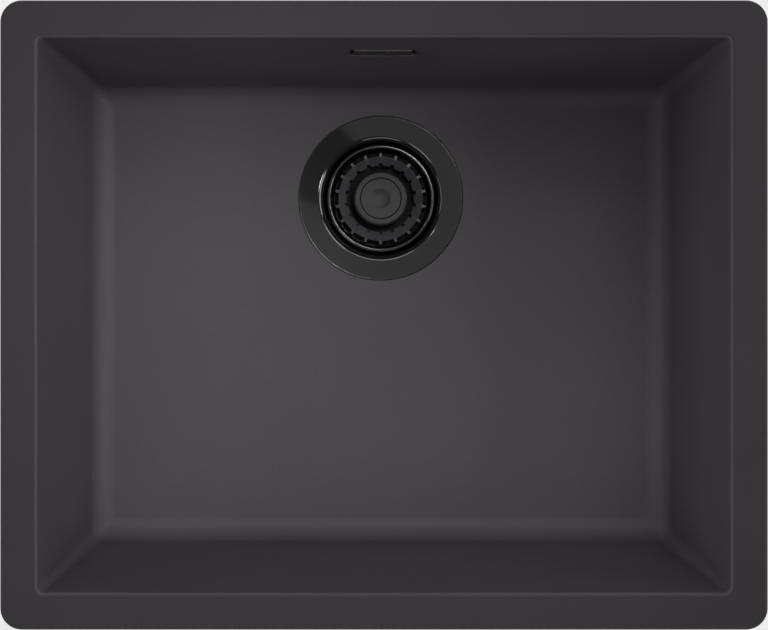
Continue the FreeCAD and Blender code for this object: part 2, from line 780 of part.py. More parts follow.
def make_plug_stem():
    """Socket that slides on the post, with a flange that carries the seal."""
    groove_r = stem_bore_r + 2 * detent_minor_r + thread_gap
    half = detent_minor_r + thread_gap
    stem = turned(
        [
            (0, stem_top_z, 0),
            (stem_r, stem_top_z, post_chamfer),
            (stem_r, seal_bottom_z, 0),
            (stem_flange_r, seal_bottom_z, 0),
            (stem_flange_r, stem_bottom_z, stem_edge_r),
            (stem_bore_r, stem_bottom_z, 0),
            (stem_bore_r, detent_z - half, 0),
            (groove_r, detent_z - half, 0),
            (groove_r, detent_z + half, 0),
            (stem_bore_r, detent_z + half, 0),
            (stem_bore_r, stem_bore_top_z, 0),
            (0, stem_bore_top_z, 0),
        ]
    )
    thread = disc(knob_screw_r + thread_gap, knob_screw_end_z - screw_gap, stem_top_z)
    return stem.cut(thread)


def make_detent_ring():
    """Ring in the socket that holds the plug down on the post's groove."""
    middle_r = stem_bore_r + detent_minor_r
    return Part.makeTorus(middle_r, detent_minor_r, drain_axis + Vector(0, 0, detent_z))


def make_plug_seal():
    """Rubber disc under the basket, whose lip closes on the cup's floor."""
    lip_z = cup_floor_z + lift_gap
    root_r = seal_r - seal_lip_width - seal_lip_slant
    return turned(
        [
            (turning_r, seal_top_z, 0),
            (seal_r - seal_lip_slant, seal_top_z, seal_lip_slant),
            (seal_r, lip_z, seal_edge_r),
            (seal_r - seal_lip_width, lip_z, seal_edge_r),
            (root_r, seal_bottom_z, seal_lip_slant),
            (turning_r, seal_bottom_z, 0),
        ]
    )


def make_basket_cup():
    """Pressed basket with a rolled rim, slotted sides and a perforated floor."""
    low_z = basket_floor_z
    bead_z = basket_rim_z - basket_rim_bead
    shell = turned(
        [
            (turning_r, low_z, 0),
            (basket_floor_r, low_z, basket_corner_r + basket_sheet),
            (basket_mouth_r + basket_sheet, bead_z, 0),
            (basket_rim_r, bead_z, basket_rim_inner_r),
            (basket_rim_r, basket_rim_z, basket_rim_outer_r),
            (basket_mouth_r, basket_rim_z, basket_rim_inner_r),
            (basket_floor_r - basket_sheet, low_z + basket_sheet, basket_corner_r),
            (turning_r, low_z + basket_sheet, 0),
        ]
    )
    slot_z = (low_z + bead_z - basket_slot_height) / 2
    slot = spoke(rib_r, basket_rim_r, basket_slot_width, slot_z, slot_z + basket_slot_height)
    hole = disc(basket_hole_r, low_z - cut_over, low_z + basket_sheet + cut_over)
    hole.translate(Vector((petal_outer_r + rib_r) / 2, 0, 0))
    hole_count = 2 * flute_count
    holes = round_pattern(hole, hole_count, 180.0 / hole_count)
    return shell.cut(round_pattern(slot, basket_slot_count) + holes)


def petal_ring():
    """Hollow ring with a sloping deck, before it is divided into petals."""
    deck_z = flute_top_z - petal_slope - petal_deck
    core_outer_r = petal_outer_r - petal_outer_wall
    outside = turned(
        [
            (petal_inner_r, flute_base_z, 0),
            (petal_outer_r, flute_base_z, 0),
            (petal_outer_r, flute_top_z, petal_edge_r),
            (petal_inner_r, flute_top_z - petal_slope, petal_edge_r),
        ]
    )
    return outside.cut(ring(petal_notch_r, core_outer_r, flute_base_z, deck_z)), deck_z


def make_fluted_ring():
    """Inner strainer: petals with side windows, outer ribs, and a base round the plug's stem."""
    petals, deck_z = petal_ring()
    inside_r = petal_inner_r - cut_over
    notch = spoke(inside_r, petal_notch_r, petal_notch_width, knob_base_z, flute_top_z)
    window = spoke(inside_r, rib_r, petal_window_width, knob_base_z, deck_z)
    rib_top_z = flute_top_z - rib_below_petal
    rib = spoke(petal_notch_r, rib_r, flute_rib_width, flute_base_z, rib_top_z)
    rib = rib.makeChamfer(rib_chamfer, edges_where(rib, lambda p: near(p.z, rib_top_z)))
    groove = spoke(petal_inner_r, petal_outer_r, petal_notch_width, rib_top_z, flute_top_z)
    half_pitch = 180.0 / flute_count
    notches = round_pattern(notch, flute_count, half_pitch)
    petals = petals.cut(notches + round_pattern(groove, flute_count, half_pitch))
    petals = petals.fuse(round_pattern(rib, flute_count, half_pitch))
    petals = petals.cut(round_pattern(window, flute_count))
    return petals.fuse(ring(turning_r, petal_notch_r, flute_base_z, knob_base_z)).removeSplitter()


def make_knob():
    """Mushroom knob that the basket is lifted by."""
    shoulder_z = knob_top_z - knob_height
    head_seat_r = knob_screw_head_r + screw_gap
    neck_r = stem_r + knob_neck_wall
    knob = turned(
        [
            (0, knob_screw_z, 0),
            (head_seat_r, knob_screw_z, 0),
            (head_seat_r, cap_seat_z, 0),
            (knob_recess_r, cap_seat_z, 0),
            (knob_recess_r, knob_top_z, knob_lip_r),
            (knob_r, knob_top_z, knob_edge_r),
            (knob_r, shoulder_z, knob_edge_r),
            (neck_r, shoulder_z - knob_under_slope, knob_under_slope),
            (neck_r, knob_base_z, 0),
            (turning_r, knob_base_z, 0),
            (turning_r, stem_top_z + running_gap, 0),
            (0, stem_top_z + running_gap, 0),
        ]
    )
    return knob.cut(disc(knob_screw_r + screw_gap, stem_top_z, knob_screw_z))


def make_knob_cap():
    """Round cap with a shallow thumb dimple, pressed into the knob."""
    radius = knob_recess_r - cap_gap
    top_z = cap_seat_z + cap_thickness
    cap = turned(
        [(0, cap_seat_z, 0), (radius, cap_seat_z, 0), (radius, top_z, cap_edge_r), (0, top_z, 0)]
    )
    ball_r = (cap_dimple_r**2 + cap_dimple_depth**2) / (2 * cap_dimple_depth)
    ball = Part.makeSphere(ball_r, drain_axis + Vector(0, 0, top_z - cap_dimple_depth + ball_r))
    return cap.cut(ball)


def make_knob_screw():
    """Screw under the cap that holds the knob to the plug's stem."""
    return turned(
        [
            (0, cap_seat_z, 0),
            (knob_screw_head_r, cap_seat_z, knob_screw_edge_r),
            (knob_screw_head_r, knob_screw_z, 0),
            (knob_screw_r, knob_screw_z, 0),
            (knob_screw_r, knob_screw_end_z, knob_screw_edge_r),
            (0, knob_screw_end_z, 0),
        ]
    )


PIECES = {
    "sink_bowl": make_sink_bowl,
    "strainer_cup": make_strainer_cup,
    "flange_gasket": make_flange_gasket,
    "clamp_screw": make_clamp_screw,
    "screw_washer": make_screw_washer,
    "body_gasket": make_body_gasket,
    "waste_body": make_waste_body,
    "brass_insert": make_brass_insert,
    "overflow_cover": make_overflow_cover,
    "overflow_screw": make_overflow_screw,
    "overflow_gasket": make_overflow_gasket,
    "overflow_elbow": make_overflow_elbow,
    "overflow_nut": make_overflow_nut,
    "spigot_ring": make_spigot_ring,
    "overflow_pipe": make_overflow_pipe,
    "branch_seal": make_branch_seal,
    "branch_nut": make_branch_nut,
    "plug_stem": make_plug_stem,
    "detent_ring": make_detent_ring,
    "plug_seal": make_plug_seal,
    "basket_cup": make_basket_cup,
    "fluted_ring": make_fluted_ring,
    "knob": make_knob,
    "knob_cap": make_knob_cap,
    "knob_screw": make_knob_screw,
}

os.makedirs("parts", exist_ok=True)
for name, make in PIECES.items():
    shape = make()
    shape.exportStep(f"parts/{name}.step")
    print(name, len(shape.Solids), "solid", round(shape.Volume), "mm3", "valid", shape.isValid())
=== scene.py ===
"""Looks of the composite granite sink, its basket strainer and its overflow, in metres."""

import bmesh
import bpy
import numpy as np
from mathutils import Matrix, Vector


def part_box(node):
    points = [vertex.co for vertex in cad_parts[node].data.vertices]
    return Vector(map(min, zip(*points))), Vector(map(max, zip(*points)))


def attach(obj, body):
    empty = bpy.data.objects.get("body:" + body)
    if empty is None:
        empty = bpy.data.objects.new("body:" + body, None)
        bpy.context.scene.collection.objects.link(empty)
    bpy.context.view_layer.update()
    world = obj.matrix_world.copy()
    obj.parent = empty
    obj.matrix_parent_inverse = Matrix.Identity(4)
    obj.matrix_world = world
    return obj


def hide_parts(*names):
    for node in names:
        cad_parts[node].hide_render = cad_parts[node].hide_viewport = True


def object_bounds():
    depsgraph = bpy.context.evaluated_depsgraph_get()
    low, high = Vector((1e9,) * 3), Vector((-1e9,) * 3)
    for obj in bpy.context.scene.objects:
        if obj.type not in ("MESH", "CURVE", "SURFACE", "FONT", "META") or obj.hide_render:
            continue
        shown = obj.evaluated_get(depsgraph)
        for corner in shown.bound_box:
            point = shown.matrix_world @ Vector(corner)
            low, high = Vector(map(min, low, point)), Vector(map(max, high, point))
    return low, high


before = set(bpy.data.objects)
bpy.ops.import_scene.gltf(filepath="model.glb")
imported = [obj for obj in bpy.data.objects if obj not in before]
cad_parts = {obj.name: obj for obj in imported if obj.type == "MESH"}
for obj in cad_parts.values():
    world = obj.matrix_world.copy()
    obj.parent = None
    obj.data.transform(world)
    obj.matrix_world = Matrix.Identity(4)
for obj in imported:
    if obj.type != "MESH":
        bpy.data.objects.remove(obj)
cad_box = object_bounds()

# Sink casting
# One piece of stone-filled resin, cast with its flange, bowl, drain seat and overflow slot.
# The face is smooth and matte, with fine grains that only show from close by.

MM = 0.001  # sizes below are in millimetres, meshes in metres
ARC_STEPS = 16
SIDE_STEPS = 96
TURN_STEPS = 192


def span(node):
    """Lowest and highest corner of a node of the frame, in millimetres."""
    low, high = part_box(node)
    return np.array(low) / MM, np.array(high) / MM


sink_low, sink_high = span("sink_bowl")
strainer_low, strainer_high = span("strainer_cup")
drain_y = (strainer_low[1] + strainer_high[1]) / 2
floor_z = strainer_high[2]

flange_width = 24.0
flange_thickness = 11.0
flange_corner_r = 14.0
flange_edge_r = 1.5
rim_edge_r = 3.0
wall_lean = np.radians(5.0)
wall_thickness = 9.0
wall_slope = np.tan(wall_lean)
wall_level = wall_thickness / np.cos(wall_lean)  # the wall's thickness, measured level
inner_corners = (4.0, 9.0)  # radius at the mouth and at the floor
outer_corners = (7.0, 20.0)  # the same before the wall's thickness is added
least_corner_r = 2.0
floor_fillet_r = 17.0
outer_fillet_r = 26.0
flange_fillet_r = 4.0
floor_thickness = 9.0
floor_fall = np.tan(np.radians(0.6))
recess_r = 60.4
recess_depth = 2.6
seat_r = 60.0
dish_slope = np.tan(np.radians(8.0))
drain_hole_r = 45.0
drain_boss_r = 64.0

# how far in from an edge or a wall the flat stretches start
flange_back_start = flange_width / 3
flange_top_start = 0.7 * flange_width
floor_start = 1.1 * floor_fillet_r
underside_start = 0.92 * outer_fillet_r
floor_rings = 10
underside_rings = 6


def rounded(corners, steps=ARC_STEPS, closed=False):
    """Points of a line whose corners (a, b, radius) are rounded by arcs.

    An arc's centre lies on the corner's bisector, radius / sin(half angle) away, and its points
    are the centre plus the radius turned from the first tangent point to the second.
    """
    tiny = 1e-9
    same_point = 1e-6
    corners = np.array(corners, float)
    points, radii = corners[:, :2], corners[:, 2].copy()
    before = np.roll(points, 1, axis=0) - points
    after = np.roll(points, -1, axis=0) - points
    if not closed:
        radii[[0, -1]] = 0
        before[0] = -after[0]
        after[-1] = -before[-1]
    before /= np.linalg.norm(before, axis=1, keepdims=True)
    after /= np.linalg.norm(after, axis=1, keepdims=True)
    half = np.arccos(np.clip((before * after).sum(axis=1), -1, 1)) / 2
    bisector = before + after
    bisector /= np.maximum(np.linalg.norm(bisector, axis=1, keepdims=True), tiny)
    centre = points + bisector * (radii / np.maximum(np.sin(half), tiny))[:, None]
    reach = (radii / np.maximum(np.tan(half), tiny))[:, None]
    first = points + before * reach - centre
    last = points + after * reach - centre
    start = np.arctan2(first[:, 1], first[:, 0])
    turn = np.arctan2(last[:, 1], last[:, 0]) - start
    turn = (turn + np.pi) % (2 * np.pi) - np.pi
    angle = start[:, None] + turn[:, None] * np.linspace(0, 1, steps + 1)
    arcs = centre[:, None] + radii[:, None, None] * np.stack([np.cos(angle), np.sin(angle)], axis=-1)
    line = arcs.reshape(-1, 2)
    fresh = np.linalg.norm(line - np.roll(line, 1, axis=0), axis=1) > same_point
    fresh[0] = fresh[0] or not closed
    return line[fresh]


def rectangle_rings(half_x, half_y, corner_r):
    """Rounded rectangles, one ring for each set of sizes.

    A corner's point is its centre plus the radius at an angle, and straight sides join the arcs.
    """
    sign_x = np.array([1, -1, -1, 1])[:, None]
    sign_y = np.array([1, 1, -1, -1])[:, None]
    angle = np.arange(4)[:, None] * np.pi / 2 + np.linspace(0, np.pi / 2, ARC_STEPS + 1)
    half_x, half_y, corner_r = (np.asarray(v)[:, None, None] for v in (half_x, half_y, corner_r))
    arc_x = sign_x * (half_x - corner_r) + corner_r * np.cos(angle)
    arc_y = sign_y * (half_y - corner_r) + corner_r * np.sin(angle)
    arcs = np.stack([arc_x, arc_y], axis=-1)
    along = np.linspace(0, 1, SIDE_STEPS + 1)[1:-1, None]
    next_arc = np.roll(arcs, -1, axis=1)[:, :, :1]
    sides = arcs[:, :, -1:] * (1 - along) + next_arc * along
    return np.concatenate([arcs, sides], axis=2).reshape(len(half_x), -1, 2)


def new_piece(name, mesh):
    """Object for a mesh, put in the scene."""
    piece = bpy.data.objects.new(name, mesh)
    bpy.context.scene.collection.objects.link(piece)
    return piece


def close_and_face_out(mesh):
    """Merges doubled points, drops faces with no area and points all faces outwards."""
    double_distance = 0.001 * MM
    flat_distance = 0.0005 * MM
    work = bmesh.new()
    work.from_mesh(mesh)
    bmesh.ops.remove_doubles(work, verts=work.verts, dist=double_distance)
    bmesh.ops.dissolve_degenerate(work, edges=work.edges, dist=flat_distance)
    bmesh.ops.recalc_face_normals(work, faces=work.faces)
    work.to_mesh(mesh)
    work.free()


def grid_piece(name, grid, wrap_rows=False, wrap_columns=False):
    """Object whose faces join the neighbours on a grid of points given in millimetres."""
    rows, columns = grid.shape[:2]
    index = np.arange(rows * columns).reshape(rows, columns)
    if wrap_rows:
        index = np.vstack([index, index[:1]])
    if wrap_columns:
        index = np.hstack([index, index[:, :1]])
    quads = np.stack([index[:-1, :-1], index[:-1, 1:], index[1:, 1:], index[1:, :-1]], axis=-1)
    mesh = bpy.data.meshes.new(name)
    mesh.from_pydata(grid.reshape(-1, 3) * MM, [], quads.reshape(-1, 4).tolist())
    close_and_face_out(mesh)
    return new_piece(name, mesh)


def carve(piece, tool, operation="DIFFERENCE"):
    """Cuts a tool out of a piece, or joins it on, and removes the tool."""
    cut = piece.modifiers.new("carve", "BOOLEAN")
    cut.operation = operation
    cut.solver = "EXACT"
    cut.object = tool
    shown = piece.evaluated_get(bpy.context.evaluated_depsgraph_get())
    piece.data = bpy.data.meshes.new_from_object(shown)
    piece.modifiers.clear()
    bpy.data.objects.remove(tool)


def soften(piece):
    """Smooth shading that keeps sharp edges, with flat faces left flat."""
    sharp_angle = np.radians(35.0)
    piece.data.shade_smooth()
    piece.data.set_sharp_from_angle(angle=sharp_angle)
    normals = piece.modifiers.new("normals", "WEIGHTED_NORMAL")
    normals.keep_sharp = True


def slab(name, half_x, height, corner_r, y_front, y_back, z_middle):
    """Upright slab: a rounded rectangle in X and Z, carried from the front to the back.

    The first and the last row of points shrink to the middle, which closes the two faces.
    """
    ring = rectangle_rings([half_x], [height / 2], [corner_r])[0]
    share = np.array([0, 1, 1, 0])[:, None]
    x = share * ring[:, 0]
    z = share * ring[:, 1] + z_middle
    y = np.broadcast_to(np.array([y_front, y_front, y_back, y_back])[:, None], x.shape)
    return grid_piece(name, np.stack([x, y, z], axis=-1), wrap_columns=True)


def wall_inset(depth):
    """How far the inner wall lies inside the flange's outer edge at a depth."""
    return flange_width + depth * wall_slope


def wall_corner(depth, corners):
    """Corner radius of a wall at a depth, growing steadily from mouth to floor."""
    mouth_r, floor_r = corners
    return mouth_r + (floor_r - mouth_r) * depth / -floor_z


def skin_rings(line, grow, corners):
    """Rings of the inner or outer skin from a line of (inset, z) points.

    A ring that lies further in than the wall at its depth has a corner smaller by as much,
    down to the least corner that a mould can give.
    """
    inset, z = line.T
    corner = wall_corner(-z, corners) + grow + (wall_inset(-z) - grow - inset)
    return ring_grid(inset, z, np.maximum(corner, least_corner_r))


def at_heights(flat, z):
    """Rings of (x, y) points, each set at its height."""
    height = np.broadcast_to(np.asarray(z)[:, None, None], flat.shape[:2] + (1,))
    return np.concatenate([flat, height], axis=-1)


def ring_grid(inset, z, corner):
    """Rounded rectangles at an inset from the flange's outer edge, set at their heights."""
    return at_heights(rectangle_rings(sink_high[0] - inset, sink_high[1] - inset, corner), z)


def drain_rings(line, ring):
    """Circles round the drain from a line of (radius, z) points, in step with a floor ring."""
    middle = np.array([0, drain_y])
    way = ring[:, :2] - middle
    way /= np.linalg.norm(way, axis=1, keepdims=True)
    radius, z = line.T
    return at_heights(middle + radius[:, None, None] * way, z)


def spread(first, last, steps):
    """Rings in even steps from one ring to another, without the two themselves."""
    share = np.linspace(0, 1, steps + 2)[1:-1, None, None]
    return first * (1 - share) + last * share


def slope_floor(grid):
    """Tilts the bowl's inside down to the drain, in proportion to depth, from none at the rim."""
    tilted = grid.copy()
    tilted[..., 2] += (drain_y - grid[..., 1]) * floor_fall * grid[..., 2] / floor_z
    return tilted


def sink_casting():
    """Closed grid: underside, outer wall, flange, inner wall, floor, drain seat and drain hole."""
    under_z = floor_z - floor_thickness
    under_inset = wall_inset(-under_z) - wall_level
    floor_inset = wall_inset(-floor_z)
    edge_band = 2 * flange_edge_r
    outer = [
        (under_inset + underside_start, under_z, 0),
        (under_inset, under_z, outer_fillet_r),
        (wall_inset(flange_thickness) - wall_level, -flange_thickness, flange_fillet_r),
        (flange_back_start, -flange_thickness, 0),
    ]
    edge = [
        (edge_band, -flange_thickness, 0),
        (0, -flange_thickness, flange_edge_r),
        (0, 0, flange_edge_r),
        (edge_band, 0, 0),
    ]
    inner = [
        (flange_top_start, 0, 0),
        (flange_width, 0, rim_edge_r),
        (floor_inset, floor_z, floor_fillet_r),
        (floor_inset + floor_start, floor_z, 0),
    ]
    edge_line = rounded(edge)
    outside = skin_rings(rounded(outer), wall_level, outer_corners)
    flange = ring_grid(edge_line[:, 0], edge_line[:, 1], flange_corner_r - edge_line[:, 0])
    inside = slope_floor(skin_rings(rounded(inner), 0, inner_corners))
    seat_z = floor_z - recess_depth
    seat = np.array(
        [
            (recess_r, floor_z),
            (recess_r, seat_z + (recess_r - seat_r) * dish_slope),
            (drain_hole_r, seat_z - (seat_r - drain_hole_r) * dish_slope),
            (drain_hole_r, sink_low[2]),
            (drain_boss_r, sink_low[2]),
            (drain_boss_r, under_z),
        ]
    )
    drain = drain_rings(seat, inside[-1])
    drain[:1] = slope_floor(drain[:1])
    floor = spread(inside[-1], drain[0], floor_rings)
    underside = spread(drain[-1], outside[0], underside_rings)
    rings = [outside, flange, inside, floor, drain, underside]
    return grid_piece("sink_casting", np.concatenate(rings), wrap_rows=True, wrap_columns=True)


gasket_low, gasket_high = span("overflow_gasket")
slot_z = (gasket_low[2] + gasket_high[2]) / 2
slot_half = 22.5
slot_height = 21.0
slot_corner_r = 3.0
pocket_margin = 1.5
pocket_depth = 0.5
pocket_y = sink_high[1] - wall_inset(-slot_z) + pocket_depth
pocket_corner_r = slot_corner_r + pocket_margin
pad_margin = 9.0
pad_depth = 8.0
pad_corner_r = 2 * slot_corner_r
pad_y = gasket_low[1]
cut_over = 1.0  # how far a cutter runs past what it cuts


def slot_slab(name, margin, corner_r, y_front, y_back):
    """Slab that is larger than the overflow's slot by a margin all round."""
    return slab(name, slot_half + margin, slot_height + 2 * margin, corner_r, y_front, y_back, slot_z)


casting = sink_casting()
carve(casting, slot_slab("pad", pad_margin, pad_corner_r, pad_y - pad_depth, pad_y), "UNION")
carve(casting, slot_slab("slot", 0.0, slot_corner_r, 0.0, pad_y + cut_over))
carve(casting, slot_slab("pocket", pocket_margin, pocket_corner_r, 0.0, pocket_y))
soften(casting)


class Socket:
    """An output of a shader node. Operators on it add Math nodes, and node adds any other kind."""

    def __init__(self, tree, output):
        self.tree = tree
        self.output = output

    def node(self, kind, settings, sockets, output=0):
        """Adds a node: its settings first, then the values or links of its sockets."""
        made = self.tree.nodes.new("ShaderNode" + kind)
        for key, value in settings.items():
            if key == "stops":
                set_stops(made.color_ramp, value)
            else:
                setattr(made, key, value)
        for key, value in sockets.items():
            self.join(made.inputs[key], value)
        return Socket(self.tree, made.outputs[output])

    def join(self, target, value):
        """Links a socket to a target, or sets a plain value on it."""
        if isinstance(value, Socket):
            self.tree.links.new(value.output, target)
        else:
            target.default_value = value

    def feed(self, shader, **sockets):
        """Joins values or links to a shader's sockets, named with an underscore for each space."""
        for key, value in sockets.items():
            self.join(shader.inputs[key.replace("_", " ")], value)

    def maths(self, operation, first, second):
        """Adds one Math node."""
        return self.node("Math", {"operation": operation}, {0: first, 1: second})

    def __add__(self, other):
        return self.maths("ADD", self, other)

    def __sub__(self, other):
        return self.maths("SUBTRACT", self, other)

    def __rsub__(self, other):
        return self.maths("SUBTRACT", other, self)

    def __mul__(self, other):
        return self.maths("MULTIPLY", self, other)

    __radd__ = __add__
    __rmul__ = __mul__


def set_stops(ramp, stops):
    """Gives a colour ramp its (position, colour) stops."""
    while len(ramp.elements) < len(stops):
        ramp.elements.new(0.5)
    for element, (position, colour) in zip(ramp.elements, stops):
        element.position = position
        element.color = (*colour, 1)


def start_finish(name, **plain):
    """New material: its Principled shader with plain values, and its Object coordinates."""
    material = bpy.data.materials.new(name)
    material.use_nodes = True
    shader = material.node_tree.nodes["Principled BSDF"]
    place = Socket(material.node_tree, None).node("TexCoord", {}, {}, "Object")
    place.feed(shader, **plain)
    return material, shader, place


def srgb(*levels):
    """Linear colour of a display colour given as levels up to 255."""
    share = np.array(levels) / 255
    return tuple(np.where(share < 0.04045, share / 12.92, ((share + 0.055) / 1.055) ** 2.4))


def noise(place, scale, detail):
    """Noise of about one lump per 1/scale metres."""
    return place.node("TexNoise", {}, {"Vector": place, "Scale": scale, "Detail": detail})


def bump(place, height, distance, strength):
    """Surface relief of a depth in metres."""
    sockets = {"Strength": strength, "Distance": distance, "Height": height}
    return place.node("Bump", {}, sockets, "Normal")


def tinted(place, tone, *stops):
    """Colour that follows a tone through (position, colour) stops."""
    return place.node("ValToRGB", {"stops": stops}, {"Fac": tone})


def colour_mix(place, share, first, second, blend="MIX"):
    """Colour that goes from a first to a second colour by a share."""
    settings = {"data_type": "RGBA", "blend_type": blend}
    return place.node("Mix", settings, {0: share, 6: first, 7: second}, 2)


def soft_step(place, value, start, full, low=0.0, high=1.0):
    """Amount that rises softly from low, where the value is at start, to high at full."""
    sockets = {"Value": value, "From Min": start, "From Max": full, "To Min": low, "To Max": high}
    return place.node("MapRange", {"interpolation_type": "SMOOTHSTEP"}, sockets)


def height_of(place):
    """Height over the flange's top, in metres."""
    return place.node("SeparateXYZ", {}, {"Vector": place}, "Z")


granite_dark = srgb(78, 73, 78)
granite_mid = srgb(84, 79, 84)
granite_light = srgb(91, 86, 91)
grain_share = 0.7
# painted shade: the flange's top colour is multiplied by this, so it renders darker than the bowl
flange_painted_shade = (0.38, 0.38, 0.38, 1)
painted_shade_start_z = -0.8
painted_shade_full_z = -0.1


def granite_finish():
    """Matte resin full of fine grains, with soft clouds of tone from the mould.

    The flange's top has painted shade: its colour is multiplied darker than the rest of the casting.
    """
    material, shader, place = start_finish("granite_matte", Specular_IOR_Level=0.25)
    # painted shade: mask of the flange's top face, rising over the first part of the rim's rounded edge
    flange_painted_shade_mask = soft_step(place, height_of(place), painted_shade_start_z * MM, painted_shade_full_z * MM)
    grain = noise(place, scale=1500.0, detail=4.0)
    cloud = noise(place, scale=14.0, detail=2.0)
    tone = grain * grain_share + cloud * (1 - grain_share)
    colour = tinted(place, tone, (0.3, granite_dark), (0.5, granite_mid), (0.7, granite_light))
    place.feed(
        shader,
        Base_Color=colour_mix(place, flange_painted_shade_mask, colour, flange_painted_shade, "MULTIPLY"),
        Roughness=cloud * 0.12 + 0.46,
        Normal=bump(place, grain, distance=0.00004, strength=0.5),
    )
    return material


def dress(piece, material, body, slot, *nodes):
    """Gives a piece its material and its body, and hides the nodes that it stands for. The slot
    argument is not used.
    """
    piece.data.materials.clear()
    piece.data.materials.append(material)
    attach(piece, body)
    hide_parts(*nodes)


dress(casting, granite_finish(), "sink", "granite", "sink_bowl")

# Strainer cup
# A pressed steel cup with a dished flange, let into the floor flush and coated satin black.
# Its floor has a ring of drain holes round the clamp screw.

strainer_r = seat_r
strainer_edge_r = 0.5
strainer_sheet = 1.5
cup_r = 41.6
cup_wall = 1.2
cup_taper = 1.5
cup_corner_r = 6.0
cup_hole_r = 4.5
cup_hole_circle_r = 17.0
cup_hole_count = 8
screw_hole_r = 3.3
bend_r = 5.2
cup_under_z = strainer_low[2]
cup_floor_z = cup_under_z + cup_wall


def turned(name, corners, steps=ARC_STEPS, closed=True):
    """Line of (radius, z, corner radius) corners, carried round the drain's axis.

    The line is closed, or it runs from pole to pole.
    """
    radius, z = rounded(corners, steps, closed).T
    angle = np.linspace(0, 2 * np.pi, TURN_STEPS, endpoint=False)
    x = radius[:, None] * np.cos(angle)
    y = radius[:, None] * np.sin(angle) + drain_y
    grid = np.stack([x, y, np.broadcast_to(z[:, None], x.shape)], axis=-1)
    return grid_piece(name, grid, wrap_rows=closed, wrap_columns=True)


def joined(name, grids):
    """One object made of several grids that each close round their columns."""
    work = bmesh.new()
    for grid in grids:
        piece = grid_piece(name, grid, wrap_columns=True)
        work.from_mesh(piece.data)
        bpy.data.objects.remove(piece)
    mesh = bpy.data.meshes.new(name)
    work.to_mesh(mesh)
    work.free()
    return new_piece(name, mesh)


def drums(name, radius, circle_r, count, z_low, z_high, first=0.0):
    """Upright cylinders on a circle round the drain, joined as one cutter."""
    sides = 32
    ring_angle = np.linspace(0, 2 * np.pi, sides, endpoint=False)
    place = first + np.arange(count) * 2 * np.pi / count
    profile = np.array([(0, z_low), (radius, z_low), (radius, z_high), (0, z_high)])
    x = circle_r * np.cos(place)[:, None, None] + profile[:, :1] * np.cos(ring_angle)
    y = circle_r * np.sin(place)[:, None, None] + profile[:, :1] * np.sin(ring_angle) + drain_y
    z = np.broadcast_to(profile[:, 1:], x.shape)
    return joined(name, np.stack([x, y, z], axis=-1))


def strainer_line(radius, drop=0.0):
    """Height of the dished flange at a radius, or of what lies a drop under it."""
    return floor_z - drop - (strainer_r - radius) * dish_slope


outer_r = cup_r + cup_wall
strainer = turned(
    "strainer_flange_cup",
    [
        (strainer_r, floor_z, strainer_edge_r),
        (cup_r, strainer_line(cup_r), bend_r),
        (cup_r - cup_taper, cup_floor_z, cup_corner_r),
        (screw_hole_r, cup_floor_z, 0),
        (screw_hole_r, cup_under_z, 0),
        (outer_r - cup_taper, cup_under_z, cup_corner_r + cup_wall),
        (outer_r, strainer_line(outer_r, strainer_sheet), bend_r - cup_wall),
        (strainer_r, floor_z - strainer_sheet, 0),
    ],
)
drain_holes = drums(
    "drain_holes",
    cup_hole_r,
    cup_hole_circle_r,
    cup_hole_count,
    cup_under_z - cut_over,
    cup_floor_z + cut_over,
)
carve(strainer, drain_holes)
soften(strainer)


def axis_radius(place):
    """Distance from the drain's axis, in metres."""
    axis = (0, drain_y * MM, 0)
    middle = place.node("VectorMath", {"operation": "SUBTRACT"}, {0: place, 1: axis})
    flat = place.node("VectorMath", {"operation": "MULTIPLY"}, {0: middle, 1: (1, 1, 0)})
    return place.node("VectorMath", {"operation": "LENGTH"}, {0: flat}, "Value")


steel_dark = srgb(20, 20, 22)
steel_light = srgb(27, 26, 29)
mirror_start_r = 36.4  # inside this radius the coating is dull
mirror_full_r = 37.2
dull_coat = 0.1


def black_steel_finish():
    """Satin black coating on spun steel: dark, softly mirror-like, with faint turning rings."""
    material, shader, place = start_finish(
        "black_coated_steel", Specular_IOR_Level=0.05, Coat_Roughness=0.06, Coat_IOR=1.8
    )
    radius = axis_radius(place)
    ring_sockets = {"W": radius, "Scale": 2500.0, "Detail": 2.0}
    rings = place.node("TexNoise", {"noise_dimensions": "1D"}, ring_sockets)
    smears = noise(place, scale=60.0, detail=3.0)
    place.feed(
        shader,
        Base_Color=tinted(place, smears, (0.35, steel_dark), (0.65, steel_light)),
        Roughness=rings * 0.08 + smears * 0.08 + 0.42,
        Coat_Weight=soft_step(place, radius, mirror_start_r * MM, mirror_full_r * MM, low=dull_coat),
        Normal=bump(place, rings, distance=0.00001, strength=0.4),
    )
    return material


black_steel = black_steel_finish()
dress(strainer, black_steel, "sink", "black_steel", "strainer_cup")

# Seals
# Soft black rings and frames, pressed flat between the hard pieces that they seal.
# The overflow's gasket also has a thin lip, which lines the sill and the ends of the slot.

lip_wall = 0.7
lip_bite = 0.02  # overlap that makes the lip one piece with the gasket
lip_inset = 0.1  # how far the lip stays behind the pocket's face and inside the gasket's back
lip_start_y = pocket_y + lip_inset
lip_back_y = gasket_high[1] - lip_inset


def merged_copy(node, name):
    """New object with a node's mesh, its loose triangles joined at their corners."""
    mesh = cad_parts[node].data.copy()
    mesh.name = name
    close_and_face_out(mesh)
    return new_piece(name, mesh)


def slot_seal():
    """The overflow's gasket with the lip, whose opening is raised so that the slot's top stays bare."""
    seal = merged_copy("overflow_gasket", "overflow_seal")
    lip = slot_slab("lip", lip_bite, slot_corner_r, lip_start_y, lip_back_y)
    opening = slab(
        "lip_opening",
        slot_half - lip_wall,
        slot_height,
        slot_corner_r - lip_wall,
        lip_start_y - cut_over,
        gasket_high[1] + cut_over,
        slot_z + lip_wall,
    )
    carve(lip, opening)
    carve(seal, lip, "UNION")
    soften(seal)
    return seal


rubber_dark = srgb(20, 20, 20)
rubber_light = srgb(33, 33, 34)


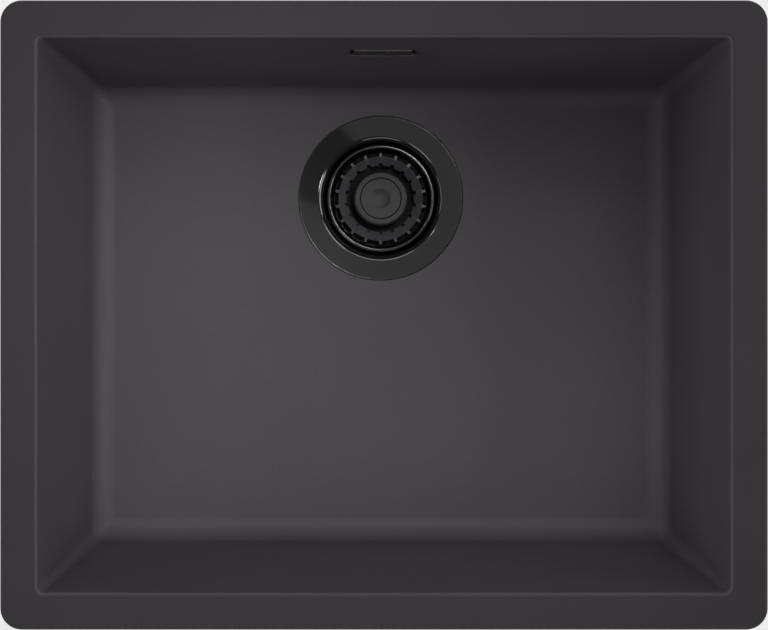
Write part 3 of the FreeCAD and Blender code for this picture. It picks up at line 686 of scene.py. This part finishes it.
def black_rubber_finish():
    """Moulded rubber: almost black, matte, with a dusty bloom and a fine pitted skin."""
    material, shader, place = start_finish("black_rubber")
    pits = noise(place, scale=1800.0, detail=3.0)
    bloom = noise(place, scale=90.0, detail=4.0)
    place.feed(
        shader,
        Base_Color=tinted(place, bloom, (0.35, rubber_dark), (0.7, rubber_light)),
        Roughness=bloom * 0.2 + 0.62,
        Normal=bump(place, pits, distance=0.00003, strength=0.5),
    )
    return material


def finish_nodes(material, *nodes):
    """Gives carried-over nodes a material in every slot that they have."""
    for node in nodes:
        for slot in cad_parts[node].material_slots:
            slot.material = material


black_rubber = black_rubber_finish()
finish_nodes(black_rubber, "flange_gasket", "body_gasket", "spigot_ring")
finish_nodes(black_rubber, "branch_seal", "detent_ring", "plug_seal")
dress(slot_seal(), black_rubber, "sink", "seal_rubber", "overflow_gasket")

# Waste body
# A black moulding under the sink that collects the water. Its outlet has a pipe thread for the trap,
# and its branch takes the overflow pipe, held by a nut with grips.

outlet_r = 23.9
thread_pitch = 2.309
thread_depth = 1.48
thread_length = 16.5
thread_half_angle = np.radians(27.5)
thread_steps = 72  # points for each turn
thread_over = 0.4  # how far the cutter stands out of the wall
tip_clear = 0.3  # how far the cutter's tip leaves the wall at its end
waste_low = span("waste_body")[0]


def thread_cutter():
    """Helix with a V section: z rises one pitch a turn, and the tip runs out of the wall at the top.

    The depth of the V falls in proportion to the angle that is left over the last half turn.
    """
    near_end = 0.01  # in half turns
    turns = (thread_length + thread_pitch) / thread_pitch
    angle = np.linspace(0, 2 * np.pi * turns, int(thread_steps * turns))
    rise = waste_low[2] - thread_pitch + thread_pitch * angle / (2 * np.pi)
    left = (2 * np.pi * turns - angle) / np.pi
    tip_r = outlet_r - thread_depth * np.minimum(left, 1) + tip_clear * (left < near_end)
    back_r = np.full_like(angle, outlet_r + thread_over)
    half = (back_r - tip_r) * np.tan(thread_half_angle)
    radius = np.stack([tip_r, back_r, back_r], axis=1)
    z = np.stack([rise, rise - half, rise + half], axis=1)
    x = radius * np.cos(angle)[:, None]
    y = radius * np.sin(angle)[:, None] + drain_y
    rows = np.stack([x, y, z], axis=-1)
    ends = rows[[0, -1]].mean(axis=1, keepdims=True).repeat(3, axis=1)
    grid = np.concatenate([ends[:1], rows, ends[1:]])
    return grid_piece("thread_cutter", grid, wrap_columns=True)


waste = merged_copy("waste_body", "waste_moulding")
carve(waste, thread_cutter())
soften(waste)

waste_dark = srgb(36, 36, 38)
waste_light = srgb(46, 46, 48)


def black_polypropylene_finish():
    """Black moulding with a fine eroded grain from its mould and faint flow marks."""
    material, shader, place = start_finish("black_polypropylene")
    grain = noise(place, scale=2600.0, detail=3.0)
    flow = noise(place, scale=35.0, detail=3.0)
    place.feed(
        shader,
        Base_Color=tinted(place, flow, (0.3, waste_dark), (0.7, waste_light)),
        Roughness=flow * 0.12 + grain * 0.1 + 0.34,
        Normal=bump(place, grain, distance=0.00004, strength=0.5),
    )
    return material


black_polypropylene = black_polypropylene_finish()
dress(waste, black_polypropylene, "sink", "waste_plastic", "waste_body")
finish_nodes(black_polypropylene, "branch_nut", "overflow_elbow", "plug_stem")

# Overflow pipe
# A drawn grey pipe from the elbow down to the branch, pushed over an O-ring at its top.
# It hangs outside the back wall, so its finish is the plain one of drain pipes.

pipe_dark = srgb(126, 128, 131)
pipe_light = srgb(142, 143, 146)


def stretched_noise(place, scale, detail):
    """Noise with a scale of its own along each axis."""
    stretched = place.node("Mapping", {}, {"Vector": place, "Scale": scale})
    return noise(stretched, scale=1.0, detail=detail)


def grey_pipe_finish():
    """Drawn grey plastic, with faint streaks along the pipe and a dull shine."""
    material, shader, place = start_finish("grey_pipe")
    streaks = stretched_noise(place, scale=(900.0, 900.0, 25.0), detail=3.0)
    dust = noise(place, scale=40.0, detail=3.0)
    tone = streaks * 0.5 + dust * 0.5
    place.feed(
        shader,
        Base_Color=tinted(place, tone, (0.3, pipe_dark), (0.7, pipe_light)),
        Roughness=dust * 0.2 + 0.32,
        Normal=bump(place, streaks, distance=0.00002, strength=0.4),
    )
    return material


finish_nodes(grey_pipe_finish(), "overflow_pipe")

# Screws and threaded bushes
# Turned stainless screws with slotted heads, and brass bushes moulded into the plastic for them.
# The overflow cover's screw is coated black, since its head shows.

screw_dark = srgb(180, 180, 178)
screw_light = srgb(205, 205, 203)
brass_dark = srgb(205, 170, 105)
brass_light = srgb(226, 194, 128)


def turned_metal_finish(name, dark, light, roughness):
    """Turned metal: rings of tool marks along each screw's length."""
    material, shader, place = start_finish(name, Metallic=1.0)
    marks = stretched_noise(place, scale=(200.0, 200.0, 4000.0), detail=2.0)
    place.feed(
        shader,
        Base_Color=tinted(place, marks, (0.3, dark), (0.7, light)),
        Roughness=marks * 0.15 + roughness - 0.08,
        Normal=bump(place, marks, distance=0.00001, strength=0.4),
    )
    return material


turned_steel = turned_metal_finish("turned_steel", screw_dark, screw_light, roughness=0.3)
turned_brass = turned_metal_finish("turned_brass", brass_dark, brass_light, roughness=0.32)
finish_nodes(turned_steel, "clamp_screw", "screw_washer", "knob_screw")
finish_nodes(turned_brass, "brass_insert", "overflow_nut")
finish_nodes(black_steel, "overflow_screw")

# Basket
# A pressed steel basket with a rolled rim, slots in its wall and small holes in its floor.
# It rides on the plug and lifts out with it.

basket_low, basket_high = span("basket_cup")
basket_rim_z = basket_high[2]
basket_floor_z = basket_low[2]
basket_rim_r = 39.4
basket_mouth_r = 36.8
basket_bead = 2.6
bead_edge_r = 0.85
bead_top_r = 1.2
basket_sheet = 1.0
basket_bend_r = 1.2
basket_floor_r = 36.5
basket_slot_count = 36
basket_slot_width = 2.4
basket_slot_height = 12.0
floor_hole_r = 1.1
stem_hole_r = 8.05
rib_r = 33.9
petal_outer_r = 31.4
flute_count = 18

bead_z = basket_rim_z - basket_bead
basket_inside_z = basket_floor_z + basket_sheet
basket = turned(
    "basket_pressing",
    [
        (stem_hole_r, basket_floor_z, 0),
        (basket_floor_r, basket_floor_z, basket_bend_r + basket_sheet),
        (basket_mouth_r + basket_sheet, bead_z, 0),
        (basket_rim_r, bead_z, bead_edge_r),
        (basket_rim_r, basket_rim_z, bead_top_r),
        (basket_mouth_r, basket_rim_z, bead_edge_r),
        (basket_floor_r - basket_sheet, basket_inside_z, basket_bend_r),
        (stem_hole_r, basket_inside_z, 0),
    ],
)


def spokes(name, r_low, r_high, width, z_low, z_high, count):
    """Upright bars that run out from the drain's axis, joined as one object."""
    half = width / 2
    corner = np.array([(r_low, -half), (r_high, -half), (r_high, half), (r_low, half)])
    middle = np.repeat(corner.mean(axis=0)[None], 4, axis=0)
    rows = np.array([middle, corner, corner, middle])
    angle = np.arange(count)[:, None, None] * 2 * np.pi / count
    x = rows[..., 0] * np.cos(angle) - rows[..., 1] * np.sin(angle)
    y = rows[..., 0] * np.sin(angle) + rows[..., 1] * np.cos(angle) + drain_y
    height = np.array([z_low, z_low, z_high, z_high])[:, None]
    z = np.broadcast_to(height, x.shape)
    return joined(name, np.stack([x, y, z], axis=-1))


slot_low_z = (basket_floor_z + bead_z - basket_slot_height) / 2
wall_slots = spokes(
    "wall_slots",
    rib_r,
    basket_rim_r,
    basket_slot_width,
    slot_low_z,
    slot_low_z + basket_slot_height,
    basket_slot_count,
)
floor_holes = drums(
    "floor_holes",
    floor_hole_r,
    (petal_outer_r + rib_r) / 2,
    2 * flute_count,
    basket_floor_z - cut_over,
    basket_inside_z + cut_over,
    np.pi / (2 * flute_count),
)
carve(basket, wall_slots)
carve(basket, floor_holes)
soften(basket)
dress(basket, black_steel, "basket", "black_steel", "basket_cup")

# Knob, cap and fluted ring
# A moulded mushroom knob with a round ring, and a thin cap with a thumb dimple pressed into it.
# The fluted ring round them is a moulding of the same kind.

knob_low, knob_high = span("knob")
knob_top_z = knob_high[2]
knob_base_z = knob_low[2]
knob_r = 20.2
knob_round_r = 2.2
knob_height = 7.0
knob_under_z = knob_top_z - knob_height
knob_recess_r = 15.0
knob_recess_edge_r = 0.6
knob_neck_r = 12.0
knob_neck_round_r = 2.0
knob_under_fall = 2.0
cap_low, cap_high = span("knob_cap")
cap_seat_z = cap_low[2]
cap_top_z = cap_high[2]
cap_r = 14.85
cap_edge_r = 0.5
cap_edge_steps = 8
dimple_r = 7.4
dimple_depth = 0.9
dimple_land = 0.4  # width of the last flat ring before the dimple
dimple_steps = 24
screw_bore_r = 2.3
screw_head_r = 3.9
screw_head_height = 2.2
screw_seat_z = cap_seat_z - screw_head_height
stem_play = 0.05
stem_hole_top_z = span("plug_stem")[1][2] + stem_play

knob = turned(
    "knob_mushroom",
    [
        (screw_bore_r, screw_seat_z, 0),
        (screw_head_r, screw_seat_z, 0),
        (screw_head_r, cap_seat_z, 0),
        (knob_recess_r, cap_seat_z, 0),
        (knob_recess_r, knob_top_z, knob_recess_edge_r),
        (knob_r, knob_top_z, knob_round_r),
        (knob_r, knob_under_z, knob_round_r),
        (knob_neck_r, knob_under_z - knob_under_fall, knob_neck_round_r),
        (knob_neck_r, knob_base_z, 0),
        (stem_hole_r, knob_base_z, 0),
        (stem_hole_r, stem_hole_top_z, 0),
        (screw_bore_r, stem_hole_top_z, 0),
    ],
)
soften(knob)


def dished_cap():
    """Disc whose top falls to its middle as a shallow ball, depth times (1 - (r / dimple)^2)."""
    edge = [
        (cap_r, cap_seat_z, 0),
        (cap_r, cap_top_z, cap_edge_r),
        (dimple_r + dimple_land, cap_top_z, 0),
    ]
    rim = rounded(edge, cap_edge_steps)
    radius = np.linspace(dimple_r, 0, dimple_steps)
    dish = np.stack([radius, cap_top_z - dimple_depth * (1 - (radius / dimple_r) ** 2)], axis=-1)
    line = np.concatenate([[(0, cap_seat_z)], rim, dish])
    return turned("knob_cap_disc", np.column_stack([line, np.zeros(len(line))]), 1, closed=False)


cap = dished_cap()
soften(cap)

knob_dark = srgb(34, 33, 36)
knob_light = srgb(44, 43, 46)
flute_dark = srgb(58, 56, 60)
flute_light = srgb(68, 66, 70)
# painted shadow: near-black colour on the fluted ring inside a radius round the knob
painted_knob_shadow = (*srgb(12, 12, 13), 1)
painted_knob_shadow_r = 24.0
polish_start_r = 30.4
polish_full_r = 31.2
petal_polish = 0.7


def black_moulding_finish(name, dark, light, **plain):
    """Hard black moulding with a fine skin and a trace of wear."""
    material, shader, place = start_finish(name, **plain)
    skin = noise(place, scale=900.0, detail=2.0)
    wear = noise(place, scale=120.0, detail=3.0)
    colour = tinted(place, wear, (0.3, dark), (0.7, light))
    place.feed(
        shader,
        Base_Color=colour,
        Roughness=wear * 0.12 + 0.42,
        Normal=bump(place, skin, distance=0.00002, strength=0.4),
    )
    return material, shader, place, colour


def fluted_ring_finish():
    """The same moulding, with painted shadow, near black, on the ring round the knob, and polished at
    the petals' outer edges.
    """
    material, shader, place, colour = black_moulding_finish(
        "black_fluted_moulding", flute_dark, flute_light, Specular_IOR_Level=0.12, Coat_Roughness=0.12
    )
    radius = axis_radius(place)
    # painted shadow: mask of the ring round the knob
    in_painted_knob_shadow = place.maths("LESS_THAN", radius, painted_knob_shadow_r * MM)
    polish = soft_step(place, radius, polish_start_r * MM, polish_full_r * MM, high=petal_polish)
    place.feed(shader, Base_Color=colour_mix(place, in_painted_knob_shadow, colour, painted_knob_shadow), Coat_Weight=polish)
    return material


black_moulding = black_moulding_finish("black_moulding", knob_dark, knob_light)[0]
dress(knob, black_moulding, "basket", "black_moulding", "knob")
dress(cap, black_moulding, "basket", "black_moulding", "knob_cap")
finish_nodes(fluted_ring_finish(), "fluted_ring")

# Overflow cover
# A moulded plate that hides the overflow slot and leaves a gap under it for the water.
# It leans with the wall, and one screw from the front holds it to the elbow behind.

cover_top_z = span("overflow_cover")[1][2]
cover_edge = 0.8
cover_polish = 0.55
cover_dark = srgb(51, 49, 52)
cover_light = srgb(59, 57, 60)


def leaning_cover():
    """Copy of the cover whose points move into the bowl in proportion to their depth."""
    cover = merged_copy("overflow_cover", "overflow_plate")
    points = np.empty(3 * len(cover.data.vertices))
    cover.data.vertices.foreach_get("co", points)
    points = points.reshape(-1, 3)
    points[:, 1] += (points[:, 2] - points[:, 2].max()) * wall_slope
    cover.data.vertices.foreach_set("co", points.ravel())
    soften(cover)
    return cover


def cover_finish():
    """The same moulding in a lighter shade, polished along its upper edge."""
    material, shader, place, _ = black_moulding_finish(
        "overflow_cover_moulding", cover_dark, cover_light, Coat_Roughness=0.1, Coat_IOR=1.9
    )
    edge = place.maths("GREATER_THAN", height_of(place), (cover_top_z - cover_edge) * MM)
    place.feed(shader, Coat_Weight=edge * cover_polish)
    return material


dress(leaning_cover(), cover_finish(), "sink", "black_moulding", "overflow_cover")

# Stage, light and camera
# A pale floor under the sink and soft lamps all round it, strongest from the right. A wide panel
# hangs overhead, and three narrow spots brighten parts of the bowl's floor.

camera_height = 1.578
camera_x = -0.019
camera_y = 0.012
sensor_width = 36.0
view_width = 2 * sink_high[0] * MM

camera_data = bpy.data.cameras.new("camera")
camera_data.sensor_fit = "HORIZONTAL"
camera_data.sensor_width = sensor_width
camera_data.lens = sensor_width * camera_height / view_width
camera_data.shift_x = -camera_x / view_width
camera_data.shift_y = -camera_y / view_width
camera = new_piece("camera", camera_data)
camera.location = (camera_x, camera_y, camera_height)
bpy.context.scene.camera = camera

lamp_reach = 4.0
lamp_target = (0, 0, -0.1)
side_lamp = 2.2
small_lamp = 1.0
top_panel = 3.7
spot_softness = 0.15


def lamp(name, kind, energy, place, target):
    """Lamp of a kind at a place, facing a target."""
    data = bpy.data.lights.new(name, kind)
    data.energy = energy
    way = np.array(target, float) - np.array(place, float)
    yaw = np.arctan2(way[1], way[0])
    fall = np.arctan2(np.hypot(way[0], way[1]), -way[2])
    light = new_piece(name, data)
    light.location = place
    light.rotation_euler = (fall, 0, yaw - np.pi / 2)
    return data


def soft_lamp(name, energy, size, azimuth, elevation):
    """Square lamp far from the sink, at an angle round from +X and an angle up, in degrees."""
    turn, rise = np.radians([azimuth, elevation])
    way = np.array([np.cos(turn) * np.cos(rise), np.sin(turn) * np.cos(rise), np.sin(rise)])
    lamp(name, "AREA", energy, lamp_reach * way, lamp_target).size = size


def floor_spot(name, energy, cone, place, target):
    """Narrow soft-edged spot through the bowl's mouth onto its floor, its cone in degrees."""
    data = lamp(name, "SPOT", energy, place, (*target, floor_z * MM))
    data.spot_size = np.radians(cone)
    data.spot_blend = 1.0
    data.shadow_soft_size = spot_softness


soft_lamp("right", 57.0, side_lamp, 0, 36)
soft_lamp("corner", 11.0, small_lamp, 45, 60)
soft_lamp("back", 34.0, side_lamp, 90, 49)
soft_lamp("left", 45.0, side_lamp, 180, 24)
soft_lamp("far_corner", 7.0, small_lamp, 225, 60)
soft_lamp("front", 18.0, side_lamp, 270, 32)
soft_lamp("overhead", 9.6, top_panel, 150, 76)
floor_spot("main_spot", 34.0, 19.0, (0.15, 0.3, 1.85), (-0.132, -0.065))
floor_spot("back_left_spot", 34.0, 9.0, (0.6, 0.0, 1.8), (-0.19, 0.11))
floor_spot("front_right_spot", 38.0, 8.0, (-0.5, 0.45, 1.75), (0.185, -0.125))

white = (1, 1, 1, 1)
sky_strength = 0.06
world = bpy.data.worlds.new("world")
world.use_nodes = True
world.node_tree.nodes["Background"].inputs["Color"].default_value = white
world.node_tree.nodes["Background"].inputs["Strength"].default_value = sky_strength
bpy.context.scene.world = world

ground_reach = 4.0
ground_drop = 0.0005
ground_tone = (0.85, 0.85, 0.85, 1)
ground_glow = 0.7
ground_z = cad_box[0][2] - ground_drop


def pale_ground_finish():
    """Pale floor that glows for camera, mirror and see-through rays, and is plainly lit for others."""
    material, shader, place = start_finish("pale_ground", Roughness=0.9, Base_Color=ground_tone)
    ray = place.node("LightPath", {}, {}, "Is Camera Ray")
    rays = ray.output.node.outputs
    mirrored = Socket(ray.tree, rays["Is Glossy Ray"])
    passed = Socket(ray.tree, rays["Is Transmission Ray"])
    seen = ray.maths("MAXIMUM", ray, ray.maths("MAXIMUM", mirrored, passed))
    glow = ray.node("Emission", {}, {"Color": white, "Strength": 1.0})
    lit = Socket(ray.tree, shader.outputs["BSDF"])
    both = ray.node("MixShader", {}, {0: seen * ground_glow, 1: lit, 2: glow})
    ray.join(ray.tree.nodes["Material Output"].inputs["Surface"], both)
    return material


ground = bpy.data.meshes.new("ground")
ground_ends = (-ground_reach, ground_reach)
ground_corners = [(x, y, ground_z) for x in ground_ends for y in ground_ends]
ground.from_pydata(ground_corners, [], [(0, 2, 3, 1)])
ground.materials.append(pale_ground_finish())
ground_piece = new_piece("ground", ground)

bpy.context.scene.view_settings.view_transform = "Standard"
